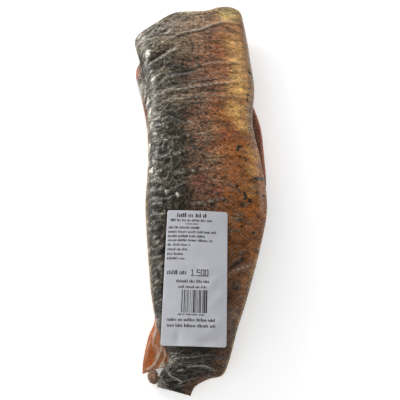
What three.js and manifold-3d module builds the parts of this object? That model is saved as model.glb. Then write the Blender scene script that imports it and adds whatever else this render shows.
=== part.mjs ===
// A vacuum pack of hot-smoked salmon: one fillet lies skin side up on another that lies skin side down.
// Clear film is drawn tight round both, with its two sealed ends folded under and a paper label on top.
// The sealed pack is one solid out to its film, and the label is a second one.
// Millimetres, +Z up. X runs from the fish's back to its belly, and Y from the tail to the head end.
import * as THREE from "three";
import { mergeVertices } from "three/addons/utils/BufferGeometryUtils.js";
import Module from "manifold-3d";

const wasm = await Module();
wasm.setup();

// Outlines in plan, tail to head: the left side, the right side and the cut head edge from left to right
const UPPER_OUTLINE = {
  left: [[-39, -169], [-38, -161], [-33.5, -153], [-28, -145], [-33, -134], [-39.5, -116], [-45.5, -90],
    [-51, -45], [-55, 0], [-54.5, 45], [-57.5, 98], [-60.5, 143], [-70.5, 181], [-75.5, 198], [-77.5, 210]],
  right: [[-8.5, -176.5], [-4, -168.5], [8, -162.5], [20.5, -159], [27, -146], [34.5, -120], [44, -93],
    [58.8, -44], [68, 0], [64.5, 48], [57.5, 98], [61.5, 143], [58.5, 184], [55.5, 221], [52, 249]],
  head: [[-77.5, 210], [-53, 228.5], [-31, 246.5], [-9, 249.5], [7, 251], [23, 258.5], [36, 261], [47, 257],
    [52, 249]],
};
const LOWER_OUTLINE = {
  left: [[-53, -158], [-52.5, -146], [-48.5, -126], [-43, -109], [-47, -82], [-53.5, -27], [-56, 34],
    [-56.5, 70], [-60, 102], [-66, 131], [-75.5, 170], [-72, 189], [-63, 218]],
  right: [[-36, -152], [-9, -150], [20, -134], [35, -109], [47.5, -78], [63.5, -27], [70, 28], [70, 57],
    [68.3, 94], [63, 119], [54, 149], [48, 206], [39.5, 240]],
  head: [[-63, 218], [-30, 233], [5, 240], [39.5, 240]],
};

// Heights against Y: the plane where the two fillets meet, and each upper fillet section above it
const SPLIT_HEIGHT = [[-176, 3.5], [-160, 5.5], [-145, 9.5], [-130, 13.5], [-100, 17], [-60, 18.5], [0, 19.5],
  [100, 19.5], [200, 18], [267, 15.5]];
const UPPER_THICKNESS = [[-176, 5], [-160, 9], [-145, 13.5], [-130, 19.5], [-100, 20.5], [-60, 21.5],
  [0, 22.5], [100, 23], [200, 22], [267, 18]];

// How the thickness falls off from the loin, which lies a little left of the middle, to the thin belly
const LOIN_AT = 0.38;
const BELLY_FALL = 0.55;
const UPPER_EDGE_SHARE = 0.3;
const LOWER_EDGE_SHARE = 0.55;
const UPPER_ROUNDING = { left: 15, right: 17, tail: 9, head: 11 };
const LOWER_ROUNDING = { left: 17, right: 16, tail: 10, head: 14 };
const FUSE_DEPTH = 1;
const UPPER_GRID = { across: 22, along: 96 };
const LOWER_GRID = { across: 14, along: 60 };
const EDGE_ROWS = 4;
const EDGE_SPAN = { across: 0.13, along: 0.022 };
const HEAD_BLEND = 0.14;
const HEAD_BLEND_POWER = 1.5;
const UNDERSIDE_INSETS = [0.12, 0.42, 1];

// Main folds of the film, left to right: start, end, upward bow of the middle, height, half width
const FOLDS = [
  { from: [-56, 222], to: [52, 232], bow: 4, height: 1.3, spread: 2.6 },
  { from: [-66, 176], to: [-20, 204], bow: -2, height: 1.8, spread: 3.2 },
  { from: [-61, 164], to: [60, 177], bow: -3, height: 1, spread: 2.8 },
  { from: [-45, 139], to: [60, 152], bow: 2, height: 1.5, spread: 2.8 },
  { from: [-38, 124], to: [57, 130], bow: 3, height: 1.1, spread: 2.6 },
  { from: [-56, 96], to: [-10, 104], bow: -4, height: 1.3, spread: 2.8 },
  { from: [-48, 56], to: [20, 74], bow: -3, height: 1.2, spread: 2.6 },
  { from: [-28, 32], to: [14, 39], bow: 1, height: 1.4, spread: 2.4 },
  { from: [-54, 14], to: [22, 27], bow: -5, height: 1.4, spread: 2.8 },
  { from: [27, -67], to: [54, -58], bow: 1.5, height: 1.5, spread: 2.6 },
  { from: [-28, -145], to: [22, -148], bow: -2, height: 1.4, spread: 2.6 },
  { from: [-28, -144], to: [-14, -166], bow: 2, height: 1.5, spread: 2.6 },
];
const FOLD_CLEARANCE = 1.08;
const FOLD_END_SPREAD = 2;

// The loose end of the lower fillet's tail, and the film that bridges the gaps round it
const TAIL_TIP = { at: [-43.8, -160.4, 4], half: [5.4, 6.6, 3.2], turn: 0.35 };
const TAIL_WEB = {
  low: 1.6,
  high: 3,
  outline: [[-51, -155], [-49, -162], [-43.5, -167], [-37.5, -167.5], [-33, -152], [-44, -149]],
};

// The film's sealed ends, folded under and lying flat on what the pack rests on
const FLAP_THICKNESS = 0.9;
const END_FLAPS = [
  { outline: [[-50, 216], [-40, 150], [33, 152], [41, 236]] },
  { outline: [[-32, -148], [-30, -84], [26, -86], [17, -148]] },
];

// The stiff label follows the pack, and its lower end stands a little clear where the tail falls away
const LABEL = { width: 58, length: 124, at: [-4, -74], turn: -0.028, corner: 2, thickness: 0.3, gap: 0.5 };
const LABEL_REST = [[-136, 34.4], [-120, 36.2], [-100, 37.6], [-60, 39.8]];
const LABEL_CROSS_CURVE = 0.0022;
const LABEL_GRID = { across: 14, along: 26 };
const CORNER_REACH = 0.1;
const PROBE_HEIGHT = 90;

const WELD_DISTANCE = 1e-4;
const FINISHES = {
  pack: { color: 0x7a5a40, roughness: 0.35 },
  label: { color: 0xdedee2, roughness: 0.6 },
};

const planPoint = ([x, y]) => new THREE.Vector2(x, y);
const spline = (points) => new THREE.SplineCurve(points.map(planPoint));

// A smooth height that runs through [y, height] pairs, held level past both ends.
function heightAt(pairs, y) {
  const last = pairs.length - 1;
  const place = THREE.MathUtils.clamp(y, pairs[0][0], pairs[last][0]);
  const next = Math.max(1, pairs.findIndex(([stop]) => stop >= place));
  const [[low, a], [high, b]] = [pairs[next - 1], pairs[next]];
  const share = THREE.MathUtils.smoothstep(place, low, high);
  return THREE.MathUtils.lerp(a, b, (share + (place - low) / (high - low)) / 2);
}

// A fillet's plan: a patch between its two long sides that bulges out to the cut head edge.
class Plan {
  constructor({ left, right, head }, rounding) {
    this.left = spline(left);
    this.right = spline(right);
    this.head = spline(head);
    this.rounding = rounding;
    this.length = this.left.getLength();
  }

  at(across, along) {
    const left = this.left.getPoint(along);
    const right = this.right.getPoint(along);
    const straight = left.clone().lerp(right, across);
    const headLeft = this.left.getPoint(1);
    const headLine = headLeft.lerp(this.right.getPoint(1), across);
    const bulge = this.head.getPoint(across).sub(headLine);
    const reach = THREE.MathUtils.smoothstep(along, 1 - HEAD_BLEND, 1) ** HEAD_BLEND_POWER;
    return straight.addScaledVector(bulge, reach);
  }

  // From 0 on the outline to 1 inside the rounded edges.
  fullness(across, along) {
    const width = this.left.getPoint(along).distanceTo(this.right.getPoint(along));
    const { left, right, tail, head } = this.rounding;
    const quarter = (distance, radius) => Math.sqrt(1 - (1 - Math.min(distance / radius, 1)) ** 2);
    return quarter(across * width, left) * quarter((1 - across) * width, right)
      * quarter(along * this.length, tail) * quarter((1 - along) * this.length, head);
  }
}

// Grid lines from 0 to 1, close together in the rounded edge at each end.
function gridLines(count, edge) {
  const inner = count - 2 * EDGE_ROWS;
  return Array.from({ length: count + 1 }, (_, i) => {
    if (i <= EDGE_ROWS) return edge * (1 - Math.cos((i / EDGE_ROWS) * Math.PI / 2));
    if (i >= count - EDGE_ROWS) return 1 - edge * (1 - Math.cos(((count - i) / EDGE_ROWS) * Math.PI / 2));
    return edge + (1 - 2 * edge) * ((i - EDGE_ROWS) / inner);
  });
}

// Joins a grid of top points and a few underside rings into one closed geometry.
function pillowGeometry(plan, grid, topHeight, undersideHeight) {
  const lines = {
    across: gridLines(grid.across, EDGE_SPAN.across),
    along: gridLines(grid.along, EDGE_SPAN.along),
  };
  const points = [];
  const faces = [];
  const add = (across, along, height) => {
    const { x, y } = plan.at(across, along);
    points.push(x, y, height(across, along, x, y));
    return points.length / 3 - 1;
  };
  const top = lines.along.map((b) => lines.across.map((a) => add(a, b, topHeight)));
  for (let j = 0; j < grid.along; j++) {
    for (let i = 0; i < grid.across; i++) {
      const [p, q, r, s] = [top[j][i], top[j][i + 1], top[j + 1][i + 1], top[j + 1][i]];
      faces.push(...((i + j) % 2 ? [p, q, r, p, r, s] : [p, q, s, q, r, s]));
    }
  }
  const rim = [
    ...lines.across.map((a) => [a, 0]),
    ...lines.along.slice(1).map((b) => [1, b]),
    ...lines.across.slice(0, -1).reverse().map((a) => [a, 1]),
    ...lines.along.slice(1, -1).reverse().map((b) => [0, b]),
  ];
  const rimIndex = ([a, b]) => top[lines.along.indexOf(b)][lines.across.indexOf(a)];
  let outer = rim.map(rimIndex);
  for (const inset of UNDERSIDE_INSETS) {
    const [edgeAcross, edgeAlong] = [EDGE_SPAN.across * inset, EDGE_SPAN.along * inset];
    const pull = (value, edge) => edge + value * (1 - 2 * edge);
    const ring = rim.map(([a, b]) => add(pull(a, edgeAcross), pull(b, edgeAlong), undersideHeight));
    ring.forEach((_, k) => {
      const n = (k + 1) % ring.length;
      faces.push(outer[k], ring[k], outer[n], ring[k], ring[n], outer[n]);
    });
    outer = ring;
  }
  const floor = outer.map((k) => new THREE.Vector2(points[3 * k], points[3 * k + 1]));
  for (const [p, q, r] of THREE.ShapeUtils.triangulateShape(floor, [])) {
    faces.push(outer[p], outer[r], outer[q]);
  }
  const geometry = new THREE.BufferGeometry();
  geometry.setAttribute("position", new THREE.Float32BufferAttribute(points, 3));
  geometry.setIndex(faces);
  return geometry;
}

function solidFrom(geometry) {
  const plain = geometry.clone();
  for (const name of Object.keys(plain.attributes)) if (name !== "position") plain.deleteAttribute(name);
  const merged = mergeVertices(plain, WELD_DISTANCE);
  return new wasm.Manifold(new wasm.Mesh({
    numProp: 3,
    vertProperties: new Float32Array(merged.attributes.position.array),
    triVerts: new Uint32Array(merged.index.array),
  }));
}

function geometryFrom(solid) {
  const { vertProperties, triVerts } = solid.getMesh();
  const geometry = new THREE.BufferGeometry();
  geometry.setAttribute("position", new THREE.BufferAttribute(vertProperties, 3));
  geometry.setIndex(new THREE.BufferAttribute(triVerts, 1));
  geometry.computeVertexNormals();
  return geometry;
}

// True distance from the label's middle in its own turned axes, as a share of its half size.
function labelShare(x, y) {
  const [cos, sin] = [Math.cos(LABEL.turn), Math.sin(LABEL.turn)];
  const [dx, dy] = [x - LABEL.at[0], y - LABEL.at[1]];
  const acrossShare = Math.abs(dx * cos + dy * sin) / (LABEL.width / 2);
  const alongShare = Math.abs(dy * cos - dx * sin) / (LABEL.length / 2);
  return Math.max(acrossShare, alongShare);
}

// Height that the film's folds add at a point. They stop short of the label.
function foldHeight(x, y) {
  const underLabel = 1 - THREE.MathUtils.smoothstep(labelShare(x, y), 1, FOLD_CLEARANCE);
  const sum = FOLDS.reduce((total, { from, to, bow, height, spread }) => {
    const [dx, dy] = [to[0] - from[0], to[1] - from[1]];
    const length = Math.hypot(dx, dy);
    const share = ((x - from[0]) * dx + (y - from[1]) * dy) / length ** 2;
    const end = THREE.MathUtils.clamp(share, 0, 1);
    const side = ((y - from[1]) * dx - (x - from[0]) * dy) / length - 4 * bow * end * (1 - end);
    const past = Math.abs(share - end) * length;
    return total + height * Math.exp(-((side / spread) ** 2) - (past / (FOLD_END_SPREAD * spread)) ** 2);
  }, 0);
  return sum * (1 - underLabel);
}

function upperFillet() {
  const plan = new Plan(UPPER_OUTLINE, UPPER_ROUNDING);
  const thickness = (across, y) =>
    heightAt(UPPER_THICKNESS, y) * (1 - BELLY_FALL * ((across - LOIN_AT) / (1 - LOIN_AT)) ** 2);
  const edge = (across, y) => heightAt(SPLIT_HEIGHT, y) + UPPER_EDGE_SHARE * thickness(across, y);
  const top = (across, along, x, y) => {
    const full = plan.fullness(across, along);
    return edge(across, y) + full * ((1 - UPPER_EDGE_SHARE) * thickness(across, y) + foldHeight(x, y));
  };
  const underside = (across, along, x, y) =>
    edge(across, y) - plan.fullness(across, along) * (UPPER_EDGE_SHARE * thickness(across, y) + FUSE_DEPTH);
  return solidFrom(pillowGeometry(plan, UPPER_GRID, top, underside));
}

function lowerFillet() {
  const plan = new Plan(LOWER_OUTLINE, LOWER_ROUNDING);
  const edge = (y) => LOWER_EDGE_SHARE * heightAt(SPLIT_HEIGHT, y);
  const top = (across, along, x, y) =>
    edge(y) + plan.fullness(across, along) * (heightAt(SPLIT_HEIGHT, y) - edge(y));
  const underside = (across, along, x, y) =>
    FLAP_THICKNESS + (1 - plan.fullness(across, along)) * (edge(y) - FLAP_THICKNESS);
  return solidFrom(pillowGeometry(plan, LOWER_GRID, top, underside));
}

function tailTip() {
  const ball = new THREE.SphereGeometry(1, 14, 9);
  ball.scale(...TAIL_TIP.half);
  ball.rotateZ(TAIL_TIP.turn);
  ball.translate(...TAIL_TIP.at);
  return solidFrom(ball);
}

function plate(outline, low, high) {
  const shape = new THREE.Shape(outline.map(planPoint));
  const slab = new THREE.ExtrudeGeometry(shape, { depth: high - low, bevelEnabled: false });
  slab.translate(0, 0, low);
  return solidFrom(slab);
}

function sealedPack() {
  const flaps = END_FLAPS.map(({ outline }) => plate(outline, 0, FLAP_THICKNESS + FUSE_DEPTH));
  return [
    lowerFillet(),
    tailTip(),
    plate(TAIL_WEB.outline, TAIL_WEB.low, TAIL_WEB.high),
    ...flaps,
  ].reduce((whole, piece) => whole.add(piece), upperFillet());
}

// The label: a sheet with rounded corners that follows the surface below it.
function labelGeometry(pack) {
  const ray = new THREE.Raycaster();
  const down = new THREE.Vector3(0, 0, -1);
  const surface = (x, y) => {
    ray.set(new THREE.Vector3(x, y, PROBE_HEIGHT), down);
    return ray.intersectObject(pack)[0]?.point.z ?? 0;
  };
  const rest = (x, y) => heightAt(LABEL_REST, y) - LABEL_CROSS_CURVE * (x - LABEL.at[0]) ** 2;
  const { across, along } = LABEL_GRID;
  const sheet = new THREE.PlaneGeometry(LABEL.width, LABEL.length, across, along);
  const position = sheet.attributes.position;
  for (let i = 0; i < position.count; i++) {
    const [x, y] = [position.getX(i), position.getY(i)];
    const atSide = Math.abs(x) > LABEL.width / 2 - CORNER_REACH;
    const isCorner = atSide && Math.abs(y) > LABEL.length / 2 - CORNER_REACH;
    const pull = isCorner ? LABEL.corner * (1 - Math.SQRT1_2) : 0;
    position.setXY(i, x - Math.sign(x) * pull, y - Math.sign(y) * pull);
  }
  sheet.rotateZ(LABEL.turn);
  sheet.translate(LABEL.at[0], LABEL.at[1], 0);
  const count = position.count;
  const points = [[], []];
  for (let i = 0; i < count; i++) {
    const [x, y] = [position.getX(i), position.getY(i)];
    const low = Math.max(surface(x, y), rest(x, y)) + LABEL.gap;
    points[0].push(x, y, low);
    points[1].push(x, y, low + LABEL.thickness);
  }
  const upper = Array.from(sheet.index.array);
  const lower = upper.map((_, k) => upper[k - (k % 3) + 2 - (k % 3)]);
  const rim = [];
  const row = across + 1;
  for (let i = 0; i < across; i++) rim.push([i, i + 1], [along * row + i + 1, along * row + i]);
  for (let j = 0; j < along; j++) {
    rim.push([(j + 1) * row, j * row], [j * row + across, (j + 1) * row + across]);
  }
  const wall = rim.flatMap(([p, q]) => [p, q, q + count, p, q + count, p + count]);
  const geometry = new THREE.BufferGeometry();
  geometry.setAttribute("position", new THREE.Float32BufferAttribute(points.flat(), 3));
  geometry.setIndex([...lower, ...upper.map((k) => k + count), ...wall.reverse()]);
  geometry.computeVertexNormals();
  return geometry;
}

function named(name, geometry, finish) {
  const material = new THREE.MeshStandardMaterial({ ...finish, metalness: 0 });
  const mesh = new THREE.Mesh(geometry, material);
  mesh.name = name;
  return mesh;
}

const model = new THREE.Group();
const pack = named("sealed_pack", geometryFrom(sealedPack()), FINISHES.pack);
const label = named("label", labelGeometry(pack), FINISHES.label);
model.add(pack, label);

// The origin is the middle of the pack's box, on the surface that it rests on.
const box = new THREE.Box3().setFromObject(model);
const middle = box.getCenter(new THREE.Vector3());
model.position.set(-middle.x, -middle.y, -box.min.z);

export default model;
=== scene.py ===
"""A vacuum pack of hot-smoked salmon: two fillets, flesh to flesh, in clear film with a paper label."""

import math

import bpy
import numpy as np
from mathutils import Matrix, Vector
from mathutils.bvhtree import BVHTree


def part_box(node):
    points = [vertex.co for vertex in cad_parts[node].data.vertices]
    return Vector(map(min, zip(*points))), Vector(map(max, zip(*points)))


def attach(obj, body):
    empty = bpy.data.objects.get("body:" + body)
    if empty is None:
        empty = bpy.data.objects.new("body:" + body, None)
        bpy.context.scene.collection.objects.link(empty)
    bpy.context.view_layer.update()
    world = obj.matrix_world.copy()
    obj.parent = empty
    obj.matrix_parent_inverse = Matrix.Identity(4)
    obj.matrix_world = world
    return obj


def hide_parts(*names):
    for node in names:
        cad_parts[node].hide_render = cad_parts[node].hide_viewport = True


bl_info = {
    "name": "Vacuum-packed smoked salmon",
    "version": (1, 0, 0),
    "blender": (4, 5, 0),
    "location": "View3D > Sidebar > Salmon pack",
    "description": "Builds two smoked fillets under clear film with a label, on a plain stage",
    "category": "Add Mesh",
}

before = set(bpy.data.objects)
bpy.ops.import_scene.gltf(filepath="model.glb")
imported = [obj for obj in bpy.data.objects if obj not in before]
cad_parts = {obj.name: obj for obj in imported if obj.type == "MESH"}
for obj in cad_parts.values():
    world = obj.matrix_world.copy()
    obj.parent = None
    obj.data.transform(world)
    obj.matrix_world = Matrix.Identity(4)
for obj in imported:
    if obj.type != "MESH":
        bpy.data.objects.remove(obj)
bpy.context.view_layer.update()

MM = 0.001

# Outlines in plan, in millimetres: both sides from tail to head, and the cut head edge from left to right
UPPER_OUTLINE = {
    "left": [(-39, -169), (-38, -161), (-33.5, -153), (-28, -145), (-33, -134), (-39.5, -116), (-45.5, -90),
             (-51, -45), (-55, 0), (-54.5, 45), (-57.5, 98), (-60.5, 143), (-70.5, 181), (-75.5, 198),
             (-77.5, 210)],
    "right": [(-8.5, -176.5), (-4, -168.5), (8, -162.5), (20.5, -159), (27, -146), (34.5, -120), (44, -93),
              (58.8, -44), (68, 0), (64.5, 48), (57.5, 98), (61.5, 143), (58.5, 184), (55.5, 221),
              (52, 249)],
    "head": [(-77.5, 210), (-53, 228.5), (-31, 246.5), (-9, 249.5), (7, 251), (23, 258.5), (36, 261),
             (47, 257), (52, 249)],
}
LOWER_OUTLINE = {
    "left": [(-53, -158), (-52.5, -146), (-48.5, -126), (-43, -109), (-47, -82), (-53.5, -27), (-56, 34),
             (-56.5, 70), (-60, 102), (-66, 131), (-75.5, 170), (-72, 189), (-63, 218)],
    "right": [(-36, -152), (-9, -150), (20, -134), (35, -109), (47.5, -78), (63.5, -27), (70, 28), (70, 57),
              (68.3, 94), (63, 119), (54, 149), (48, 206), (39.5, 240)],
    "head": [(-63, 218), (-30, 233), (5, 240), (39.5, 240)],
}

# Heights against Y: where the fillets meet, and how thick the upper fillet is above that
SPLIT_HEIGHT = [(-176, 3.5), (-160, 5.5), (-145, 9.5), (-130, 13.5), (-100, 17), (-60, 18.5), (0, 19.5),
                (100, 19.5), (200, 18), (267, 15.5)]
UPPER_THICKNESS = [(-176, 5), (-160, 9), (-145, 13.5), (-130, 19.5), (-100, 20.5), (-60, 21.5), (0, 22.5),
                   (100, 23), (200, 22), (267, 18)]
# Where across the upper fillet is thickest, and how much of its thickness is gone at the belly's edge
LOIN_AT = 0.38
BELLY_FALL = 0.55
# How high each fillet's outermost edge stands, as a share of its height
UPPER_EDGE_SHARE = 0.3
LOWER_EDGE_SHARE = 0.55
# How far in from each side the edges are rounded, the share of the length over which the head edge's
# shape fades in, and the height of the underside
UPPER_ROUNDING = {"left": 15, "right": 17, "tail": 9, "head": 11}
LOWER_ROUNDING = {"left": 17, "right": 16, "tail": 10, "head": 14}
HEAD_BLEND = 0.14
UNDERSIDE_HEIGHT = 0.9

# Mesh fineness: grid lines across and along, and the share of each that the close rows of an edge take
UPPER_LINES = (132, 400)
LOWER_LINES = (70, 230)
EDGE_SPAN = (0.13, 0.022)
EDGE_ROWS = 10
# How far in from its rim each ring of an underside stands, from the rim to the middle
UNDERSIDE_INSETS = (0.03, 0.1, 0.22, 0.4, 0.65, 1)
# Grids of the smaller pieces, and the close rows at the label's rounded corners
TAIL_TIP_GRID = (24, 40)
FLAP_GRID = (61, 81)
LABEL_REST_GRID = (49, 105)
LABEL_GRID = (61, 121)
CORNER_ROWS = 8

# Film folds that stand up: points, height, half width, shine (the strength of the painted highlight on the
# crest and the painted shade below it)
FOLDS = [
    ([(-48, 205), (-27, 206)], 0.9, 1.5, 0.5),
    ([(-36, 195), (-22, 206), (0, 212), (14, 221), (30, 228), (52, 231)], 1.5, 1.6, 0.9),
    ([(-61, 158), (-52, 165), (-40, 173), (-22, 185)], 1.8, 1.4, 1.0),
    ([(-59, 187), (-58, 172), (-62, 164)], 1.2, 2.0, 1.0),
    ([(-21, 153), (10, 163), (54, 171)], 1.0, 1.5, 0.45),
    ([(-42, 126), (-25, 127), (-5, 131), (26, 138), (55, 147)], 1.5, 1.5, 0.9),
    ([(-20, 134), (10, 142), (40, 149)], 0.8, 1.2, 0.35),
    ([(-35, 111), (4, 119), (50, 123)], 1.2, 1.5, 0.5),
    ([(-38, 106), (-10, 110), (30, 117)], 0.8, 1.2, 0.35),
    ([(-52, 89), (-42, 91), (-29, 89)], 1.2, 1.2, 0.7),
    ([(-12, 88), (-6, 83)], 1.2, 1.6, 1.0),
    ([(-29, 67), (-8, 71), (11, 73)], 1.2, 1.2, 0.7),
    ([(-44, 45), (-24, 48), (-4, 58)], 1.2, 1.2, 0.6),
    ([(-24, 27), (-6, 30), (12, 32)], 1.5, 1.0, 1.0),
    ([(-50, 11), (-33, 8), (-10, 20)], 1.3, 1.2, 0.55),
    ([(-12, -5), (8, -3), (27, 2)], 1.1, 1.2, 0.6),
    ([(27, -71), (40, -65), (51, -61)], 1.4, 1.4, 0.7),
    ([(-13, -152), (2, -151), (14, -155)], 1.4, 1.4, 0.6),
    ([(-25, -148), (-21, -145), (-9, -144), (12, -142)], 1.2, 1.4, 0.4),
    ([(-20, -156), (-15, -154)], 1.2, 1.2, 1.0),
    ([(-32, -153), (-26, -159), (-17, -164), (-19, -167)], 1.4, 1.2, 0.8),
    ([(-48, -22.5), (-45, -24.5), (-42.5, -22.5)], 1.4, 0.9, 1.0),
    ([(-51.5, -27.5), (-48, -29), (-45, -30.5)], 1.2, 0.8, 0.9),
    ([(-48.5, -35), (-43, -37.5), (-38, -35.5)], 1.2, 0.8, 0.9),
]
# The same over bare flesh: below the label, and in the pocket at the upper left
FLESH_FOLDS = [
    ([(-39, -104), (-42, -112), (-41, -120), (-43.5, -129), (-42, -138)], 0.6, 0.8, 0.7),
    ([(-37, -128), (-36, -137), (-39.5, -146), (-44.5, -152), (-51, -155)], 0.7, 0.9, 0.9),
    ([(-34, -134), (-32, -142), (-35, -150), (-40, -156)], 0.6, 0.8, 0.8),
    ([(-41, -133), (-38.5, -139), (-41, -146)], 0.4, 0.7, 0.6),
    ([(-46, -122), (-48, -134), (-50, -148)], 0.3, 0.7, 0.3),
    ([(-63.9, 165), (-62, 151), (-62.5, 138), (-64.8, 130)], 0.6, 0.8, 1.0),
    ([(-73, 162), (-69.2, 147), (-66, 133.5)], 0.4, 0.8, 0.8),
]
# Grooves that the film draws in: points, depth, half width, darkness (the strength of the painted shade in
# the groove)
GROOVES = [
    ([(-64, 163), (-56.5, 169), (-49.5, 174), (-42, 180), (-30, 187)], 2.6, 1.9, 1.0),
    ([(-71, 188), (-67, 176), (-64, 165)], 3.5, 3.6, 1.0),
    ([(-39, 101), (-26, 94), (-12, 87)], 2.0, 1.6, 0.9),
    ([(24, -68), (35, -61), (41, -56)], 1.6, 2.2, 0.8),
    ([(26, -82), (33, -85), (38, -80)], 1.2, 3.0, 0.7),
    ([(-45, 121), (-22, 123), (4, 126), (20, 131)], 1.0, 1.4, 0.6),
    ([(-52, 7), (-34, 4), (-14, 12)], 1.0, 1.6, 0.6),
    ([(-40, 150), (-18, 152), (0, 158)], 1.2, 3.0, 0.6),
]
# Short random wrinkles: how many and between which Y, and how far across the film over the back is loose
WRINKLE_COUNT = 420
WRINKLE_SPAN = (-170, 255)
LOOSE_WITHIN = 0.32
# Each kind's mean turn and its spread, half lengths, heights and shine, the strength of its painted
# highlight and shade
WRINKLES = {
    "loose": {"turn": (0.3, 0.8), "half": (2, 6), "height": (0.25, 0.7), "shine": 1.2},
    "tight": {"turn": (0.13, 0.12), "half": (4, 15), "height": (0.15, 0.45), "shine": 0.6},
}
# Fine creases of the film: turn from level, length and width in millimetres
CREASES = [(0.3, 16, 5), (-0.35, 11, 4), (0.9, 9, 4)]
# How a fold lies: its upper and lower flank, the painted highlight on its crest and the painted shade below
# it, as shares of its half width
FOLD_FLANKS = (1.7, 0.8)
CREST_WIDTH = 0.4
SHADE_WIDTH = 0.6
SHADE_STRENGTH = 0.6
# How far creases raise the film, how strongly they are painted with highlight and shade, and how deep its
# crumples are:
# where it lies tight, and how much more where it is loose
CREASE_RISE = (0.12, 0.55)
CREASE_SHINE = (0.2, 0.35)
CREASE_SHADE = (0.15, 0.5)
CRUMPLE_DEPTH = (0.1, 0.3)
# Seeds of everything random; each crease takes three in a row
SEEDS = {"wrinkles": 5, "print": 9, "sway": 11, "spots": 23, "crumples": 31, "swells": 37, "flesh": 41,
         "tail_tip": 43, "flaps": 47, "creases": 51, "crease_shades": 71}
# Dark smoke spots: place and half size
SPOTS = [
    (-9, 192, 1.3), (-8, 185, 1.5), (-8, 181, 1.2), (-19, 169, 2.0), (-12, 167, 2.2), (-3, 171, 1.8),
    (-20, 162, 2.4), (-1, 160, 2.6), (11, 203, 1.8), (8, 168, 1.4), (-11, 196, 1.0), (-14, 190, 0.9),
    (-30, 160, 2.2), (57, 161, 2.4), (56, 147, 1.6), (54, 138, 1.5), (53, 129, 1.8), (52, 123, 1.6),
    (52, 88, 1.1), (51, 74, 1.6), (51, 66, 1.2), (41, 61, 2.6), (39, 57, 2.0), (41, 49, 1.4), (47, 46, 1.6),
    (52, 25, 1.5), (55, 25.5, 1.9), (58, 26.5, 2.1), (61, 27.5, 2.1), (64, 28.5, 2.1), (37, 16, 1.5),
    (38, 12, 1.4), (44, 8, 2.2), (45, 4, 2.6), (49, 1, 2.4), (42, -4, 2.2), (64, 9, 2.0), (13, -4, 2.2),
    (11, -5, 1.8), (23, 0, 2.2), (39, -13, 1.4), (39, -19, 1.2), (40, -26, 1.6), (52, -31, 1.7),
    (40, -57, 1.7), (35, -61, 1.4), (31, -80, 2.0), (34, -84, 1.8), (-17, 70, 1.8), (-8, 64, 2.2),
    (-17, 60, 2.4), (-6, 57, 3.2), (-18, 50, 2.4), (-13, 40, 1.8), (20, 40, 1.6), (-24, 76, 1.4),
    (8, 73, 1.6), (-1, 55, 1.4), (6, 61, 1.3), (-29, 34, 1.4), (-21, 87, 1.6), (2, 82, 1.2),
    (-30, 130, 1.8), (-15, 118, 1.6), (-8, 132, 1.3), (8, 128, 1.3), (3, 134, 1.4), (-22, 120, 1.9),
    (-12, 7, 1.8),
]
# Soft patches, each with its place, half sizes and strength: red marks on the flank
BLUSHES = [(24, 186, 8, 8, 1.0), (30, 158, 7, 7, 1.0), (26, 152, 6, 6, 1.0), (36, 78, 7, 7, 1.0),
           (28, 72, 8, 8, 1.0), (16, 12, 8, 8, 1.0), (0, 18, 8, 8, 1.0), (34, 20, 6, 6, 1.0)]
# The brightest smoke colour on the belly
GOLDS = [(44, 196, 18, 18, 0.65), (42, 150, 14, 14, 1.0), (42, 134, 14, 13, 1.0), (42, 172, 12, 13, 0.85),
         (40, 106, 14, 11, 1.0), (46, 88, 10, 9, 0.8), (55, 54, 8, 10, 0.5), (54, 36, 7, 7, 0.55),
         (52, 14, 8, 7, 0.5), (28, 240, 12, 12, 1.0)]
# Yellowish skin at the head end
TANS = [(34, 245, 16, 12, 1.0), (-6, 243, 22, 7, 0.4)]

# The loose end of the lower fillet's tail: its middle, half sizes, turn and dents
TAIL_TIP_AT = np.array([-42.9, -160.2, 4.2])
TAIL_TIP_HALF = np.array([5.3, 6.6, 2.6])
TAIL_TIP_TURN = 0.35
TAIL_TIP_DENTS = 0.08

# How much of a film fold the skin below it follows, the space between the fillets, and the film's side:
# its rows, how far it draws in between the fillets, the middle it stands out from, how loose it looks, and
# how high it lies under the pack
SKIN_FOLLOW = 0.75
FILLET_GAP = 0.4
FILM_SIDE_STEPS = 10
FILM_WAIST = 1.5
FILM_MIDDLE = (0, 40)
SIDE_LOOSENESS = 0.3
FILM_BOTTOM = UNDERSIDE_HEIGHT / 2
# Higher than everything, in millimetres: where lines that look straight down start
ABOVE_ALL = 90

# Sealed ends, folded under: corners near left, far left, far right and near right
END_FLAPS = {
    "head_flap": [(-50, 216), (-40, 150), (33, 152), (41, 236)],
    "tail_flap": [(-32, -148), (-30, -84), (26, -86), (17, -148)],
}
# The heights of their two sides, their ripple, and where along them the seal runs
FLAP_HEIGHTS = (0.26, 0.06)
FLAP_RIPPLE = 0.06
SEAL_FROM_END = 14
SEAL_WIDTH = 9

# Where the film is milky as it spans the gaps beside the tail's tip and the pocket at the upper left,
# partly a painted highlight, and how much more than elsewhere
GAPS = [(-43, -153.5, 5, 2.4, 0.45), (-37, -162, 1.8, 4.5, 0.45), (-67, 148, 3, 10, 1.0)]
GAP_SHINE = 18

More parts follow.
